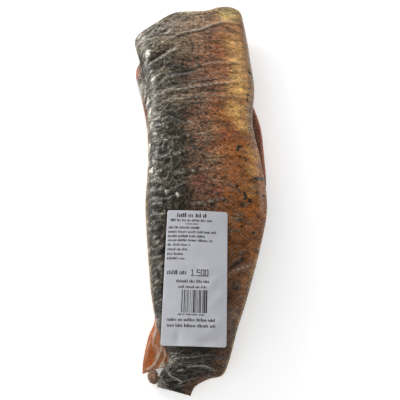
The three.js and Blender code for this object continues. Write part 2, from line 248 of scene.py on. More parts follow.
# Where the film stands off the dark back and looks milky, partly a painted glare, and above which height
MILKY_GLARE = [(-59, 178, 4, 7, 1.0), (-61, 169, 3, 4, 0.9), (-51, 144, 4, 5, 0.9), (-58, 120, 3, 7, 1.0),
         (-54, 102, 3, 8, 1.0), (-51, 86, 4, 5, 0.9), (-47, 75, 4, 4, 0.8), (-53, 61, 3, 8, 0.9),
         (-54, 44, 3, 8, 1.0), (-49, 34, 5, 5, 0.8), (-48, 44, 4, 5, 0.7), (-33, 8, 3, 4, 0.9),
         (-22, 5, 2.5, 4, 0.9), (-44, 22, 7, 4, 0.7), (-46, 214, 12, 4, 0.6), (-62, 203, 8, 4, 0.6),
         (-40, 104, 5, 4, 0.7), (-36, 66, 5, 3, 0.6)]
MILKY_ABOVE = 12
# Where flesh shows at the dark edge of the lower fillet
FLESH_SHOWS = [(-76, 172, 5, 10, 1.0)]
# Painted glare: pale patches where the film stands off the skin and catches the light
GLARE_PATCHES = [(16, 45, 11, 7, 1.0), (-42, 150, 14, 12, 0.6), (-50, 100, 14, 10, 0.6), (-22, 122, 26, 12, 1.2),
          (6, 78, 16, 10, 0.7), (0, 225, 40, 14, 0.6), (20, 20, 22, 8, 0.4), (-28, 190, 22, 10, 0.5)]

# The label in millimetres, and the heights that it keeps over the film when nothing pushes it up
LABEL = {"width": 58, "length": 124, "at": (-4, -74), "turn": -0.028, "corner": 2}
LABEL_REST = [(-136, 34.9), (-120, 36.7), (-100, 38.1), (-60, 40.3)]
LABEL_CROSS_CURVE = 0.0022
LABEL_STIFFNESS = 60
PRINT_LIFT = 0.05
# Soft buckles of the paper: middle u and v, half length, half width, turn and height
BUCKLES = [
    (14, -8, 12, 4, 0.8, 0.5), (20, -22, 10, 4, 0.9, 0.45), (-14, -55, 3.5, 6, 0.1, -0.9),
    (12, -58, 9, 4, 0.2, -1.0), (-2, -62, 8, 4, 0.0, 0.8), (18, -45, 8, 5, 0.9, 0.8),
    (6, 2, 14, 4, 0.4, 0.35), (-10, 26, 16, 5, 0.2, 0.25),
]
# Stand-in words: how many letters, the letters' heights and widths as shares of line and pitch, and the gap
WORD_LETTERS = (3, 9)
LETTER_HEIGHTS = [0.68, 0.7, 0.85, 1.0]
LETTER_WIDTHS = (0.5, 0.78)
WORD_GAP = 0.8
# Their lines: top v, left u, right u, height and letter pitch
TEXT_LINES = [
    (59.2, -19.5, 8.5, 4.0, 1.85), (53.6, -25.5, 14.0, 2.6, 1.25), (49.4, -11.0, 0.5, 1.4, 1.0),
    (46.2, -27.0, 2.5, 2.4, 1.2), (42.0, -27.2, 17.5, 2.4, 1.2), (37.8, -27.2, 7.0, 2.4, 1.2),
    (33.8, -27.2, 14.0, 2.4, 1.2), (29.4, -27.2, -6.5, 2.4, 1.3), (25.0, -27.2, -8.5, 2.4, 1.3),
    (20.6, -27.2, -11.5, 2.4, 1.3), (16.4, -27.2, -11.5, 2.4, 1.3),
    (4.4, -26.5, -8.5, 4.2, 1.7),
    (-4.4, -17.5, 12.0, 2.6, 1.35), (-9.6, -15.5, 10.5, 2.4, 1.35), (-34.2, -15.0, 8.0, 1.6, 1.3),
    (-38.2, -24.5, 18.5, 2.8, 1.3), (-43.2, -24.0, 18.5, 2.8, 1.3),
]
# Plain figures for a weight, as strokes: each figure's strokes lie on a grid two wide and four high
FIGURES = {"left": -4.2, "bottom": -0.6, "width": 2.5, "height": 5.4, "stroke": 0.8, "pitch": 3.75,
           "dot_pitch": 0.45, "text": "1.500"}
FIGURE_STROKES = {
    "0": [(0, 0, 2, 0), (0, 4, 2, 4), (0, 0, 0, 4), (2, 0, 2, 4)],
    "1": [(1, 0, 1, 4), (0.4, 3.4, 1, 3.4), (0.3, 0, 1.7, 0)],
    "5": [(0, 4, 2, 4), (0, 2.3, 0, 4), (0, 2.3, 2, 2.3), (2, 0, 2, 2.3), (0, 0, 2, 0)],
    ".": [(0, 0, 0.1, 0)],
}
# Plain bars in no real code, and how many modules wide bars and gaps may be
BARS = {"left": -12.0, "right": 11.5, "bottom": -33.6, "top": -13.4, "module": 0.42}
BAR_MODULES = [1, 1, 2, 2, 3]
GAP_MODULES = [1, 1, 2, 3]

# The photograph's view: tilt from straight down, distance to the point at the frame's middle, and its height
VIEW_TILT = math.radians(22)
VIEW_DISTANCE = 439
VIEW_MIDDLE_HEIGHT = 40
VIEW_LENS = 40.46
VIEW_SENSOR = 36
# What the camera sees, in metres
VIEW_CLIP = (0.01, 20)

# The stage: half the floor's size in millimetres, and each lamp's place, size and target in metres
FLOOR_HALF = 4000
LAMPS = {
    "key": ((-1.15, 1.05, 0.45), (0.6, 0.4), (0, 0, 0)),
    "fill": ((1.4, 0.5, 0.3), (0.7, 0.4), (0, 0, 0)),
    "head_panel": ((-0.5, 1.3, 0.4), (0.5, 0.3), (0, 0.02, 0.02)),
}


# Plan and height


def smooth(share):
    """Eases a share in and out, and holds it from 0 to 1."""
    share = np.clip(share, 0, 1)
    return share * share * (3 - 2 * share)


def fade(value, none, full):
    """From 0 where the value is at none to 1 where it is at full, smoothly."""
    return smooth((value - none) / (full - none))


def bell(distance, width):
    """From 1 in the middle, falling softly to both sides."""
    return np.exp(-((distance / width) ** 2))


def turned(x, y, angle):
    """Coordinates in axes that are turned anticlockwise by an angle."""
    cos, sin = math.cos(angle), math.sin(angle)
    return x * cos + y * sin, y * cos - x * sin


def lifted(xy, z):
    """Points from their places in plan and their heights."""
    return np.concatenate([xy, z[..., None]], -1)


def spline_points(points, share):
    """Places on the smooth curve that runs through the points, for shares from 0 to 1."""
    points = np.asarray(points, float)
    last = len(points) - 1
    place = np.clip(share, 0, 1) * last
    start = np.minimum(place.astype(int), last - 1)
    step = (place - start)[..., None]
    before, here = points[np.maximum(start - 1, 0)], points[start]
    after, later = points[start + 1], points[np.minimum(start + 2, last)]
    leave, arrive = (after - before) / 2, (later - here) / 2
    cube = 2 * here - 2 * after + leave + arrive
    square = 3 * after - 3 * here - 2 * leave - arrive
    return cube * step**3 + square * step**2 + leave * step + here


def height_at(pairs, y):
    """The height at Y, between pairs of Y and height."""
    stops, heights = np.array(pairs, float).T
    place = np.clip(y, stops[0], stops[-1])
    after = np.clip(np.searchsorted(stops, place), 1, len(stops) - 1)
    share = (place - stops[after - 1]) / (stops[after] - stops[after - 1])
    return heights[after - 1] + (heights[after] - heights[after - 1]) * (share + smooth(share)) / 2


class Plan:
    """A fillet's outline as a patch: across runs from left to right, along from tail to head."""

    def __init__(self, outline, rounding):
        self.left, self.right, self.head = outline["left"], outline["right"], outline["head"]
        self.rounding = rounding
        side = spline_points(self.left, np.linspace(0, 1, 201))
        self.length = np.linalg.norm(np.diff(side, axis=0), axis=1).sum()

    def at(self, across, along):
        left, right = spline_points(self.left, along), spline_points(self.right, along)
        ends = np.array([self.left[-1], self.right[-1]], float)
        bulge = spline_points(self.head, across) - (ends[0] + (ends[1] - ends[0]) * across[..., None])
        reach = fade(along, 1 - HEAD_BLEND, 1) ** 1.5
        return left + (right - left) * across[..., None] + bulge * reach[..., None]

    def fullness(self, across, along):
        """From 0 on the outline to 1 inside the rounded edges."""
        span = spline_points(self.right, along) - spline_points(self.left, along)
        width = np.linalg.norm(span, axis=-1)

        def quarter(distance, side):
            return np.sqrt(1 - (1 - np.clip(distance / self.rounding[side], 0, 1)) ** 2)

        return (quarter(across * width, "left") * quarter((1 - across) * width, "right")
                * quarter(along * self.length, "tail") * quarter((1 - along) * self.length, "head"))


UPPER = Plan(UPPER_OUTLINE, UPPER_ROUNDING)
LOWER = Plan(LOWER_OUTLINE, LOWER_ROUNDING)


def plan_shift():
    """What takes the outlines' own millimetres to the frame, where the pack's box is centred in plan."""
    share = np.linspace(0, 1, 2001)
    sides = [*UPPER_OUTLINE.values(), *LOWER_OUTLINE.values()]
    every = np.concatenate([spline_points(points, share) for points in sides])
    low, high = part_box("sealed_pack")
    middle = (every.min(0) + every.max(0)) / 2
    return np.array([(low.x + high.x) / 2 / MM - middle[0], (low.y + high.y) / 2 / MM - middle[1], 0])


SHIFT = plan_shift()


def in_frame(points):
    return (np.asarray(points, float) + SHIFT) * MM


def upper_heights(across, xy):
    """The upper fillet's edge height and how far it rises above that edge, before any relief."""
    fall = BELLY_FALL * ((across - LOIN_AT) / (1 - LOIN_AT)) ** 2
    thickness = height_at(UPPER_THICKNESS, xy[..., 1]) * (1 - fall)
    edge = height_at(SPLIT_HEIGHT, xy[..., 1]) + UPPER_EDGE_SHARE * thickness
    return edge, thickness


def grid_lines(count, span):
    """Shares from 0 to 1, close together in the rounded edge at each end."""
    curve = span * (1 - np.cos(np.linspace(0, math.pi / 2, EDGE_ROWS + 1)))
    inner = np.linspace(span, 1 - span, count - 2 * EDGE_ROWS + 1)
    return np.concatenate([curve[:-1], inner, 1 - curve[-2::-1]])


# Relief


def soft_noise(x, y, seed):
    """Smooth noise from -1 to 1, with features about one unit wide."""
    table = np.random.default_rng(seed).uniform(-1, 1, (64, 64))
    i, j = np.floor(x).astype(int), np.floor(y).astype(int)
    u, v = smooth(x - i), smooth(y - j)

    def pick(p, q):
        return table[p % 64, q % 64]

    low = pick(i, j) * (1 - u) + pick(i + 1, j) * u
    high = pick(i, j + 1) * (1 - u) + pick(i + 1, j + 1) * u
    return low * (1 - v) + high * v


def from_curve(x, y, points, reach):
    """Which points lie within reach of a curve, their signed distance from it and their share along it."""
    curve = spline_points(points, np.linspace(0, 1, 10 * len(points)))
    low, high = curve.min(0) - reach, curve.max(0) + reach
    near = np.where((x > low[0]) & (x < high[0]) & (y > low[1]) & (y < high[1]))[0]
    here = np.stack([x[near], y[near]], -1)
    best = np.full(len(near), np.inf)
    side, share = np.zeros((2, len(near)))
    steps = len(curve) - 1
    for k in range(steps):
        run = curve[k + 1] - curve[k]
        off = here - curve[k]
        t = np.clip((off @ run) / (run @ run), 0, 1)
        distance = np.linalg.norm(off - t[:, None] * run, axis=1)
        closer = distance < best
        best[closer] = distance[closer]
        side[closer] = np.sign(run[0] * off[:, 1] - run[1] * off[:, 0])[closer]
        share[closer] = ((k + t) / steps)[closer]
    return near, best * side, share


def taper(share):
    """Fades a fold out towards both ends."""
    return np.sin(np.pi * np.clip(share, 0.02, 0.98)) ** 0.5


def label_share(x, y):
    """Distance from the label's middle in its own turned axes, as a share of its half size."""
    across, along = turned(x - LABEL["at"][0], y - LABEL["at"][1], LABEL["turn"])
    return np.maximum(abs(across) / (LABEL["width"] / 2), abs(along) / (LABEL["length"] / 2))


def random_wrinkles(draw):
    """Short wrinkles: lively and crossing on the loose film over the back, long and level elsewhere."""
    tail, head = WRINKLE_SPAN
    wrinkles = []
    for _ in range(WRINKLE_COUNT):
        y = draw.uniform(tail, head)
        along = np.array((y - tail) / (head - tail))
        left, right = UPPER.at(np.array(0.0), along)[0], UPPER.at(np.array(1.0), along)[0]
        across = draw.uniform(0, 1) ** 1.3
        kind = WRINKLES["loose" if across < LOOSE_WITHIN else "tight"]
        angle = draw.normal(*kind["turn"])
        half = draw.uniform(*kind["half"])
        step = np.array([math.cos(angle), math.sin(angle)]) * half
        bend = np.array([-step[1], step[0]]) * draw.normal(0, 0.12)
        middle = np.array([left + (right - left) * across, y])
        points = [middle - step, middle + bend, middle + step]
        height = draw.uniform(*kind["height"])
        wrinkles.append((points, height, draw.uniform(0.6, 1.0), draw.uniform(0.1, 0.6) * kind["shine"]))
    return wrinkles


def relief(x, y, across):
    """What the film's folds raise, what its grooves and crumples lower, and masks of painted crest highlight
    and painted shade.
    """
    rise, drop, crest, groove, pit_shade = np.zeros((5, len(x)))
    sway = 0.5 * soft_noise(x / 5, y / 5, SEEDS["sway"])
    for points, height, half, shine in FOLDS + random_wrinkles(np.random.default_rng(SEEDS["wrinkles"])):
        near, side, share = from_curve(x, y, points, 5 * half)
        side = side + sway[near]
        ends = taper(share)
        width = np.where(side > 0, *FOLD_FLANKS) * half
        rise[near] += height * ends * bell(side, width)
        crest[near] = np.maximum(crest[near], shine * ends * bell(side, CREST_WIDTH * half))
        shade = SHADE_STRENGTH * shine * ends * bell(side + half, SHADE_WIDTH * half)
        groove[near] = np.maximum(groove[near], shade)
    for points, depth, half, dark in GROOVES:
        near, side, share = from_curve(x, y, points, 4 * half)
        dent = taper(share) * bell(side + sway[near], half)
        drop[near] += depth * dent
        pit_shade[near] = np.maximum(pit_shade[near], dark * dent)
    groove = np.maximum(groove, pit_shade)
    loose = looseness(across)

    def by_looseness(tight, more):
        return tight + more * loose

    for order, (turn, length, width) in enumerate(CREASES):
        line = crease_lines(x, y, turn, length, width, SEEDS["creases"] + 3 * order)
        rise += by_looseness(*CREASE_RISE) * line**3
        crest = np.maximum(crest, by_looseness(*CREASE_SHINE) * line**24)
        shade = crease_lines(x, y, -turn, length, width, SEEDS["crease_shades"] + 3 * order) ** 9
        groove = np.maximum(groove, by_looseness(*CREASE_SHADE) * shade)
    drop += by_looseness(*CRUMPLE_DEPTH) * soft_noise(x / 3.4, y / 2.6, SEEDS["crumples"])
    drop += 0.35 * soft_noise(x / 14, y / 7, SEEDS["swells"])
    clear = fade(label_share(x, y), 1, 1.08)
    return rise * clear, drop * clear, crest * (1 - pit_shade) * clear, groove * clear


def crease_lines(x, y, turn, length, width, seed):
    """Thin wandering lines, 1 on the line and falling to 0 beside it, mostly longer than wide."""
    wander_x = x + 3 * soft_noise(x / 9, y / 9, seed)
    wander_y = y + 3 * soft_noise(x / 9, y / 9, seed + 1)
    run, side = turned(wander_x, wander_y, turn)
    return 1 - np.abs(soft_noise(run / length, side / width, seed + 2))


def flesh_relief(x, y):
    """What the film's folds over the bare flesh raise, and the mask of the painted highlight on their
    crests.
    """
    rise, crest = np.zeros((2, len(x)))
    for points, height, half, shine in FLESH_FOLDS:
        near, side, share = from_curve(x, y, points, 4 * half)
        rise[near] += height * taper(share) * bell(side, half)
        crest[near] = np.maximum(crest[near], shine * taper(share) * bell(side, 0.6 * half))
    return rise, crest


def looseness(across):
    """How loosely the film sits: fully over the back's side, not at all from the middle on."""
    return fade(across, 0.36, 0.14)


def spots_at(x, y):
    """A soft mask of the smoke spots, uneven round their rims."""
    mask = np.zeros(len(x))
    ragged = 1 + 0.35 * soft_noise(x / 1.5, y / 1.5, SEEDS["spots"])
    for sx, sy, size in SPOTS:
        distance = np.hypot(x - sx, y - sy) * ragged
        mask = np.maximum(mask, 1 - distance / (1.7 * size))
    return np.clip(mask, 0, 1)


def blobs_at(x, y, blobs):
    """A mask of soft ovals, each given by its place, half sizes and strength."""
    mask = np.zeros(len(x))
    for bx, by, half_width, half_length, strength in blobs:
        mask = np.maximum(mask, strength * bell(x - bx, half_width) * bell(y - by, half_length))
    return mask


# Meshes


def add_mesh(name, points, faces, masks=None, smooth_faces=True):
    """A mesh object from points in the outlines' millimetres."""
    mesh = bpy.data.meshes.new(name)
    mesh.from_pydata(in_frame(points).tolist(), [], [list(map(int, face)) for face in faces])
    mesh.validate()
    if smooth_faces:
        mesh.shade_smooth()
    for key, values in (masks or {}).items():
        layer = mesh.attributes.new(key, "FLOAT", "POINT")
        layer.data.foreach_set("value", np.asarray(values, np.float32))
    made = bpy.data.objects.new(name, mesh)
    bpy.context.scene.collection.objects.link(made)
    return made


def grid_faces(rows, columns, first=0, wrap=False):
    """Quads of a grid of points, row by row, that face up when rows run along Y and columns along X."""
    faces = []
    for j in range(rows - 1):
        for i in range(columns if wrap else columns - 1):
            n = (i + 1) % columns
            faces.append((first + j * columns + i, first + j * columns + n,
                          first + (j + 1) * columns + n, first + (j + 1) * columns + i))
    return faces


def grid_normals(points):
    """Unit normals over a grid of points."""
    along, across = np.gradient(points, axis=0), np.gradient(points, axis=1)
    normal = np.cross(across, along)
    return normal / np.maximum(np.linalg.norm(normal, axis=-1, keepdims=True), 1e-9)


def rim_order(rows, columns):
    """Grid indices round the rim, anticlockwise from the tail's left corner."""
    tail = np.arange(columns)
    right = np.arange(1, rows) * columns + columns - 1
    head = (rows - 1) * columns + np.arange(columns - 2, -1, -1)
    left = np.arange(rows - 2, 0, -1) * columns
    return np.concatenate([tail, right, head, left])


def share_grid(lines):
    """Each grid point's share across and along."""
    return np.meshgrid(grid_lines(lines[0], EDGE_SPAN[0]), grid_lines(lines[1], EDGE_SPAN[1]))


def band_faces(outer, inner):
    """Quads between two closed loops of point indices, facing out when the inner loop is the lower one."""
    return np.stack([outer, inner, np.roll(inner, -1), np.roll(outer, -1)], -1).tolist()


def add_rings(points, faces, loop, rings):
    """Joins rings of points below a loop, one after another, and gives the last one's indices."""
    first = sum(len(block) for block in points)
    for ring in rings:
        points.append(ring)
        here = np.arange(first, first + len(ring))
        faces += band_faces(loop, here)
        loop, first = here, first + len(ring)
    return loop


def close_below(points, faces, loop, rim_shares, underside):
    """Adds rings from a loop to the middle of an underside, and the face that closes it."""
    def pulled_in(inset):
        return [span * inset + value * (1 - 2 * span * inset) for value, span in zip(rim_shares, EDGE_SPAN)]

    last = add_rings(points, faces, loop, (underside(*pulled_in(inset)) for inset in UNDERSIDE_INSETS))
    faces.append(last[::-1].tolist())


def rim_shares_of(shares):
    """The shares across and along of the points round the rim."""
    across, along = shares
    rim = rim_order(*across.shape)
    return across.ravel()[rim], along.ravel()[rim]


def closed_fillet(top, shares, underside):
    """A fillet's points and faces, and each point's share across."""
    across = shares[0]
    points, faces = [top.reshape(-1, 3)], grid_faces(*across.shape)
    rim_shares = rim_shares_of(shares)
    close_below(points, faces, rim_order(*across.shape), rim_shares, underside)
    every_across = np.concatenate([across.ravel(), np.tile(rim_shares[0], len(UNDERSIDE_INSETS))])
    return np.concatenate(points), faces, every_across


def sheet_faces(shape):
    """Faces of a thin sheet: a grid of points, the same grid below it, and the band round the rim."""
    count = shape[0] * shape[1]
    rim = rim_order(*shape)
    below = [face[::-1] for face in grid_faces(*shape, first=count)]
    return grid_faces(*shape) + below + band_faces(rim, rim + count)


def upper_base(across, along):
    """What the upper fillet's top and underside share: plan, edge height, thickness and fullness."""
    xy = UPPER.at(across, along)
    edge, thickness = upper_heights(across, xy)
    return xy, edge, thickness, UPPER.fullness(across, along)


def upper_top(across, along, relief_height):
    xy, edge, thickness, full = upper_base(across, along)
    return lifted(xy, edge + full * ((1 - UPPER_EDGE_SHARE) * thickness + relief_height))


def upper_underside(across, along):
    xy, edge, thickness, full = upper_base(across, along)
    return lifted(xy, edge - full * UPPER_EDGE_SHARE * thickness)


def lower_surface(across, along, inner_height):
    """The lower fillet's top or underside: from its edge height to the height inside."""
    xy = LOWER.at(across, along)
    edge = LOWER_EDGE_SHARE * height_at(SPLIT_HEIGHT, xy[..., 1])
    return lifted(xy, edge + LOWER.fullness(across, along) * (inner_height(xy[..., 1]) - edge))


def lower_top(across, along):
    return lower_surface(across, along, lambda y: height_at(SPLIT_HEIGHT, y) - FILLET_GAP)


def lower_underside(across, along, height=UNDERSIDE_HEIGHT):
    return lower_surface(across, along, lambda y: height)


# Nodes


class Nodes:
    """Makes nodes in one tree. Each input is a value, or a socket to link from."""

    def __init__(self, tree):
        self.tree = tree

    def feed(self, node, inputs):
        """Sets or links a node's inputs."""
        for key, value in inputs.items():
            if isinstance(value, bpy.types.NodeSocket):
                self.tree.links.new(value, node.inputs[key])
            else:
                node.inputs[key].default_value = value
        return node

    def add(self, kind, inputs=None, **settings):
        """A new node, with its settings and its inputs."""
        made = self.tree.nodes.new(kind)
        for key, value in settings.items():
            setattr(made, key, value)
        return self.feed(made, inputs or {})

    def math(self, operation, total, *values, clamp=False):
        """Takes the values into the total one after another."""
        for value in values:
            made = self.add("ShaderNodeMath", {0: total, 1: value}, operation=operation, use_clamp=clamp)
            total = made.outputs[0]
        return total

    def times(self, *values, clamp=False):
        return self.math("MULTIPLY", *values, clamp=clamp)

    def plus(self, *values, clamp=False):
        return self.math("ADD", *values, clamp=clamp)

    def less(self, first, second):
        return self.math("SUBTRACT", first, second)

    def most(self, *values):
        return self.math("MAXIMUM", *values)

    def step(self, value, low, high, top=1.0):
        """From 0 at low to top at high, smoothly."""
        inputs = {"Value": value, "From Min": low, "From Max": high, "To Max": top}
        return self.add("ShaderNodeMapRange", inputs, interpolation_type="SMOOTHSTEP").outputs["Result"]

    def mix(self, factor, first, second, blend="MIX"):
        return self.add("ShaderNodeMix", {"Factor": factor, 6: first, 7: second}, data_type="RGBA",
                        blend_type=blend, clamp_factor=True).outputs[2]

    def paint(self, base, *layers):
        """Lays colours over a base one after another, each through its mask."""
        for mask, tone in layers:
            base = self.mix(mask, base, tone)
        return base

    def mask(self, name):
        return self.add("ShaderNodeAttribute", attribute_name=name).outputs["Fac"]

    def place(self, stretch=(1, 1, 1), turn=0.0):
        """The piece's own coordinates, stretched and turned."""
        own = self.add("ShaderNodeTexCoord").outputs["Object"]
        inputs = {"Vector": own, "Scale": stretch, "Rotation": (0, 0, turn)}
        return self.add("ShaderNodeMapping", inputs).outputs[0]

    def noise(self, place, scale, detail=2.0, roughness=0.5, distortion=0.0):
        inputs = {"Vector": place, "Scale": scale, "Detail": detail, "Roughness": roughness,
                  "Distortion": distortion}
        return self.add("ShaderNodeTexNoise", inputs).outputs["Fac"]

    def wave(self, place, scale, distortion, detail=2.0, detail_scale=1.0, bands="X"):
        inputs = {"Vector": place, "Scale": scale, "Distortion": distortion, "Detail": detail,
                  "Detail Scale": detail_scale}
        return self.add("ShaderNodeTexWave", inputs, bands_direction=bands).outputs["Fac"]

    def bump(self, height, strength, distance):
        inputs = {"Height": height, "Strength": strength, "Distance": distance}
        return self.add("ShaderNodeBump", inputs).outputs[0]

    def group(self, name, inputs):
        return self.add("ShaderNodeGroup", inputs, node_tree=bpy.data.node_groups[name]).outputs

    def mottle(self, base, place, size, amount):
        inputs = {"Colour": base, "Place": place, "Size": size, "Amount": amount}
        return self.group("mottle", inputs)["Colour"]

    def crumple(self, place, size, looseness):
        return self.group("film crumple", {"Place": place, "Size": size, "Looseness": looseness})


def per(size):
    """The texture scale for features about so many millimetres wide."""
    return 1 / (size * MM)


def new_group(name, inputs, outputs):
    """A shader node group with sockets given as name and kind: its nodes, its inputs and its output node."""
    tree = bpy.data.node_groups.new(name, "ShaderNodeTree")
    for direction, sockets in (("INPUT", inputs), ("OUTPUT", outputs)):
        for label, kind in sockets.items():
            tree.interface.new_socket(label, in_out=direction, socket_type="NodeSocket" + kind)
    return Nodes(tree), tree.nodes.new("NodeGroupInput").outputs, tree.nodes.new("NodeGroupOutput")


def new_material(name, shader_inputs):
    """A material with one Principled shader, whose inputs come from a function that adds the nodes."""
    material = bpy.data.materials.new(name)
    material.use_nodes = True
    nodes = Nodes(material.node_tree)
    nodes.feed(material.node_tree.nodes["Principled BSDF"], shader_inputs(nodes))
    return material


def colour(red, green, blue):
    """A colour given in the screen's numbers from 0 to 255, as the linear numbers that shaders take."""
    def linear(value):
        share = value / 255
        return share / 12.92 if share <= 0.04045 else ((share + 0.055) / 1.055) ** 2.4
    return (linear(red), linear(green), linear(blue), 1.0)


# Effects that several materials share


def build_crumple_group():
    """Fine crumples of tight film: their height, and the thin lines of painted highlight on their crests."""
    make, given, put = new_group("film crumple", {"Place": "Vector", "Size": "Float", "Looseness": "Float"},
                                 {"Height": "Float", "Crests": "Float"})
    scale = make.math("DIVIDE", 1.0, given["Size"])
    wander = make.noise(given["Place"], scale, 1.0, distortion=0.6)
    lines = make.step(make.math("ABSOLUTE", make.less(wander, 0.5), 0.0), 0.05, 0.0)
    patchy = make.step(make.noise(given["Place"], make.times(scale, 0.45), 1.0), 0.42, 0.62)
    shift = make.times(wander, 1.2 * MM)
    bent = make.add("ShaderNodeVectorMath", {0: given["Place"], 1: shift}, operation="ADD")
    wide, narrow = (
        make.add("ShaderNodeTexVoronoi", {"Vector": bent.outputs[0], "Scale": make.times(scale, share)},
                 distance="MANHATTAN").outputs["Distance"]
        for share in (0.42, 1.1)
    )
    creased = make.times(make.plus(wide, make.times(narrow, 0.38)), given["Looseness"], -2.8)
    make.feed(put, {"Height": make.plus(make.times(wander, 0.6), creased),
                    "Crests": make.times(lines, patchy, given["Looseness"])})


def build_mottle_group():
    """Small uneven lights and darks over a colour."""
    make, given, put = new_group("mottle", {"Colour": "Color", "Place": "Vector", "Size": "Float",
                                            "Amount": "Float"}, {"Colour": "Color"})
    fine = make.noise(given["Place"], make.math("DIVIDE", 1.0, given["Size"]), 3.0, 0.6)
    level = make.plus(1.0, make.times(make.less(fine, 0.5), given["Amount"], 4.0))
    grey = make.add("ShaderNodeCombineColor", {0: level, 1: level, 2: level}).outputs[0]
    make.feed(put, {"Colour": make.mix(1.0, given["Colour"], grey, "MULTIPLY")})


# Materials: each function returns the Principled shader's inputs


def skin_inputs(make):
    """Smoked skin under tight film: grey-brown back, taupe flank, golden belly, all darker at the tail."""
    skin = bpy.context.scene.salmon_skin
    place, level, streaks = make.place(), make.place((0.35, 1, 1), -0.12), make.place((0.65, 1, 1), -0.2)
    tailward, bloom, groove = make.mask("tailward"), make.mask("bloom"), make.mask("groove")
    scales = scale_hatch(make)
    wobble = make.less(make.noise(level, per(9), 4, 0.65), 0.5)
    reach = make.plus(make.mask("across"), make.times(wobble, 0.34))
    belly = make.step(reach, 0.5, 0.8)
    golden = make.times(make.step(reach, 0.62, 0.92), make.mask("daylit"))
    base = make.paint(
        skin.back,
        (make.step(reach, 0.26, 0.56), skin.flank),
        (belly, skin.belly),
        (make.times(make.mask("amber"), belly), skin.amber),
        (make.times(make.mask("gold"), make.step(reach, 0.55, 0.85)), skin.gold),
        (make.mask("tan"), skin.tan),
        (tailward, make.mix(golden, skin.tail_back, skin.tail_belly)),
        (make.times(make.mask("margin"), 0.75), skin.margin),
        (make.times(make.mask("blush"), make.step(make.noise(place, per(3)), 0.4, 0.6), 0.8), skin.blush),
        (make.mask("rim"), skin.rim),
        # Painted glare in patches and at the head end, with real pale flecks
        (pale_flecks(make, reach, streaks, tailward, bloom), skin.bloom),
    )
    base = make.mottle(base, streaks, 2.1 * MM, make.less(1.4, make.step(reach, 0.5, 0.8, 0.7)))
    base = make.mottle(base, level, 6 * MM, 0.8)
    ragged = make.times(make.less(make.noise(place, per(1.2)), 0.5), 0.7)
    spots = make.step(make.plus(make.mask("spots"), ragged), 0.36, 0.5)
    # Painted shade in the grooves and below the folds, dark like the spots
    dark = make.most(make.times(spots, 0.93), speck_mask(make, place), make.times(groove, 0.9))
    base = make.paint(base, (make.times(make.step(scales, 0.35, 0.0), 0.25), skin.spot), (dark, skin.spot))
    folds = make.crumple(level, 3.4 * MM, make.mask("loose"))["Height"]
    grain = make.plus(make.times(folds, 0.6), make.times(make.noise(level, per(3), 1), 0.4))
    grain = make.times(grain, make.less(1.0, make.times(tailward, 0.5)))
    rough = make.step(make.noise(place, per(4)), 0.3, 0.7, 0.14)
    return {"Base Color": base, "Roughness": make.plus(rough, make.times(groove, 0.8), 0.12),
            "Normal": make.bump(make.plus(grain, make.times(scales, 0.1)), 1.0, 0.6 * MM),
            "Coat Weight": 0.1, "Coat Roughness": 0.12, "Specular IOR Level": 0.24}


def pale_flecks(make, reach, streaks, tailward, bloom):
    """Flecks of scale and fat, densest over the painted glare patches and few on the tail, and a pale wash
    of painted glare over those patches.
    """
    fleck = make.step(make.noise(streaks, per(1.9), 3, 0.7), 0.54, 0.68)
    flank = make.times(make.step(reach, 0.25, 0.5, 0.5), make.step(reach, 0.8, 0.6),
                       make.less(1.0, tailward))
    return make.most(make.times(fleck, make.plus(bloom, flank), 0.8), make.times(bloom, 0.45))


def speck_mask(make, place):
    """Small round specks over the flank, different in size, and none where belly and tail are plain."""
    cells = make.add("ShaderNodeTexVoronoi", {"Vector": place, "Scale": per(5.2), "Randomness": 1.0}).outputs
    chance = make.add("ShaderNodeSeparateColor", {0: cells["Color"]}).outputs[0]
    size = make.less(make.times(chance, 0.44), 0.09)
    return make.times(make.step(make.less(size, cells["Distance"]), -0.03, 0.04), make.mask("specked"), 0.8)


def scale_hatch(make):
    """The faint crossed rows of scale pockets."""
    return make.times(*(make.wave(make.place(turn=turn), per(9.5), 1.5, 1.0, 0.4) for turn in (0.85, -0.85)))


def flesh_inputs(make):
    """Hot-smoked flesh seen at the open side: orange with paler muscle lines, dry at the rim, with painted
    shade where the upper fillet overhangs it.
    """
    flesh = bpy.context.scene.salmon_flesh
    place = make.place()
    lines = make.wave(make.place((1, 0.5, 1), 0.5), per(26), 6.0, 3.0, 1.5)
    patch = make.step(make.noise(place, per(6), 3), 0.35, 0.6)
    base = make.paint(
        flesh.orange,
        (make.step(lines, 0.55, 0.95, 0.55), flesh.pink),
        (make.plus(make.times(patch, 0.3), make.mask("damp"), clamp=True), flesh.pink),
        (make.mask("rim"), flesh.rim),
        (make.mask("shaded"), flesh.dark),
        (make.mask("skin"), bpy.context.scene.salmon_skin.back),
        # Painted highlight of the film's folds over the flesh
        (make.mask("crest"), flesh.pale),
    )
    height = make.plus(make.times(lines, 0.6), make.crumple(place, 4 * MM, 1.0)["Height"])
    return {"Base Color": make.mottle(base, place, 1.6 * MM, 0.3), "Roughness": 0.3,
            "Normal": make.bump(height, 0.7, 0.5 * MM), "Specular IOR Level": 0.15}


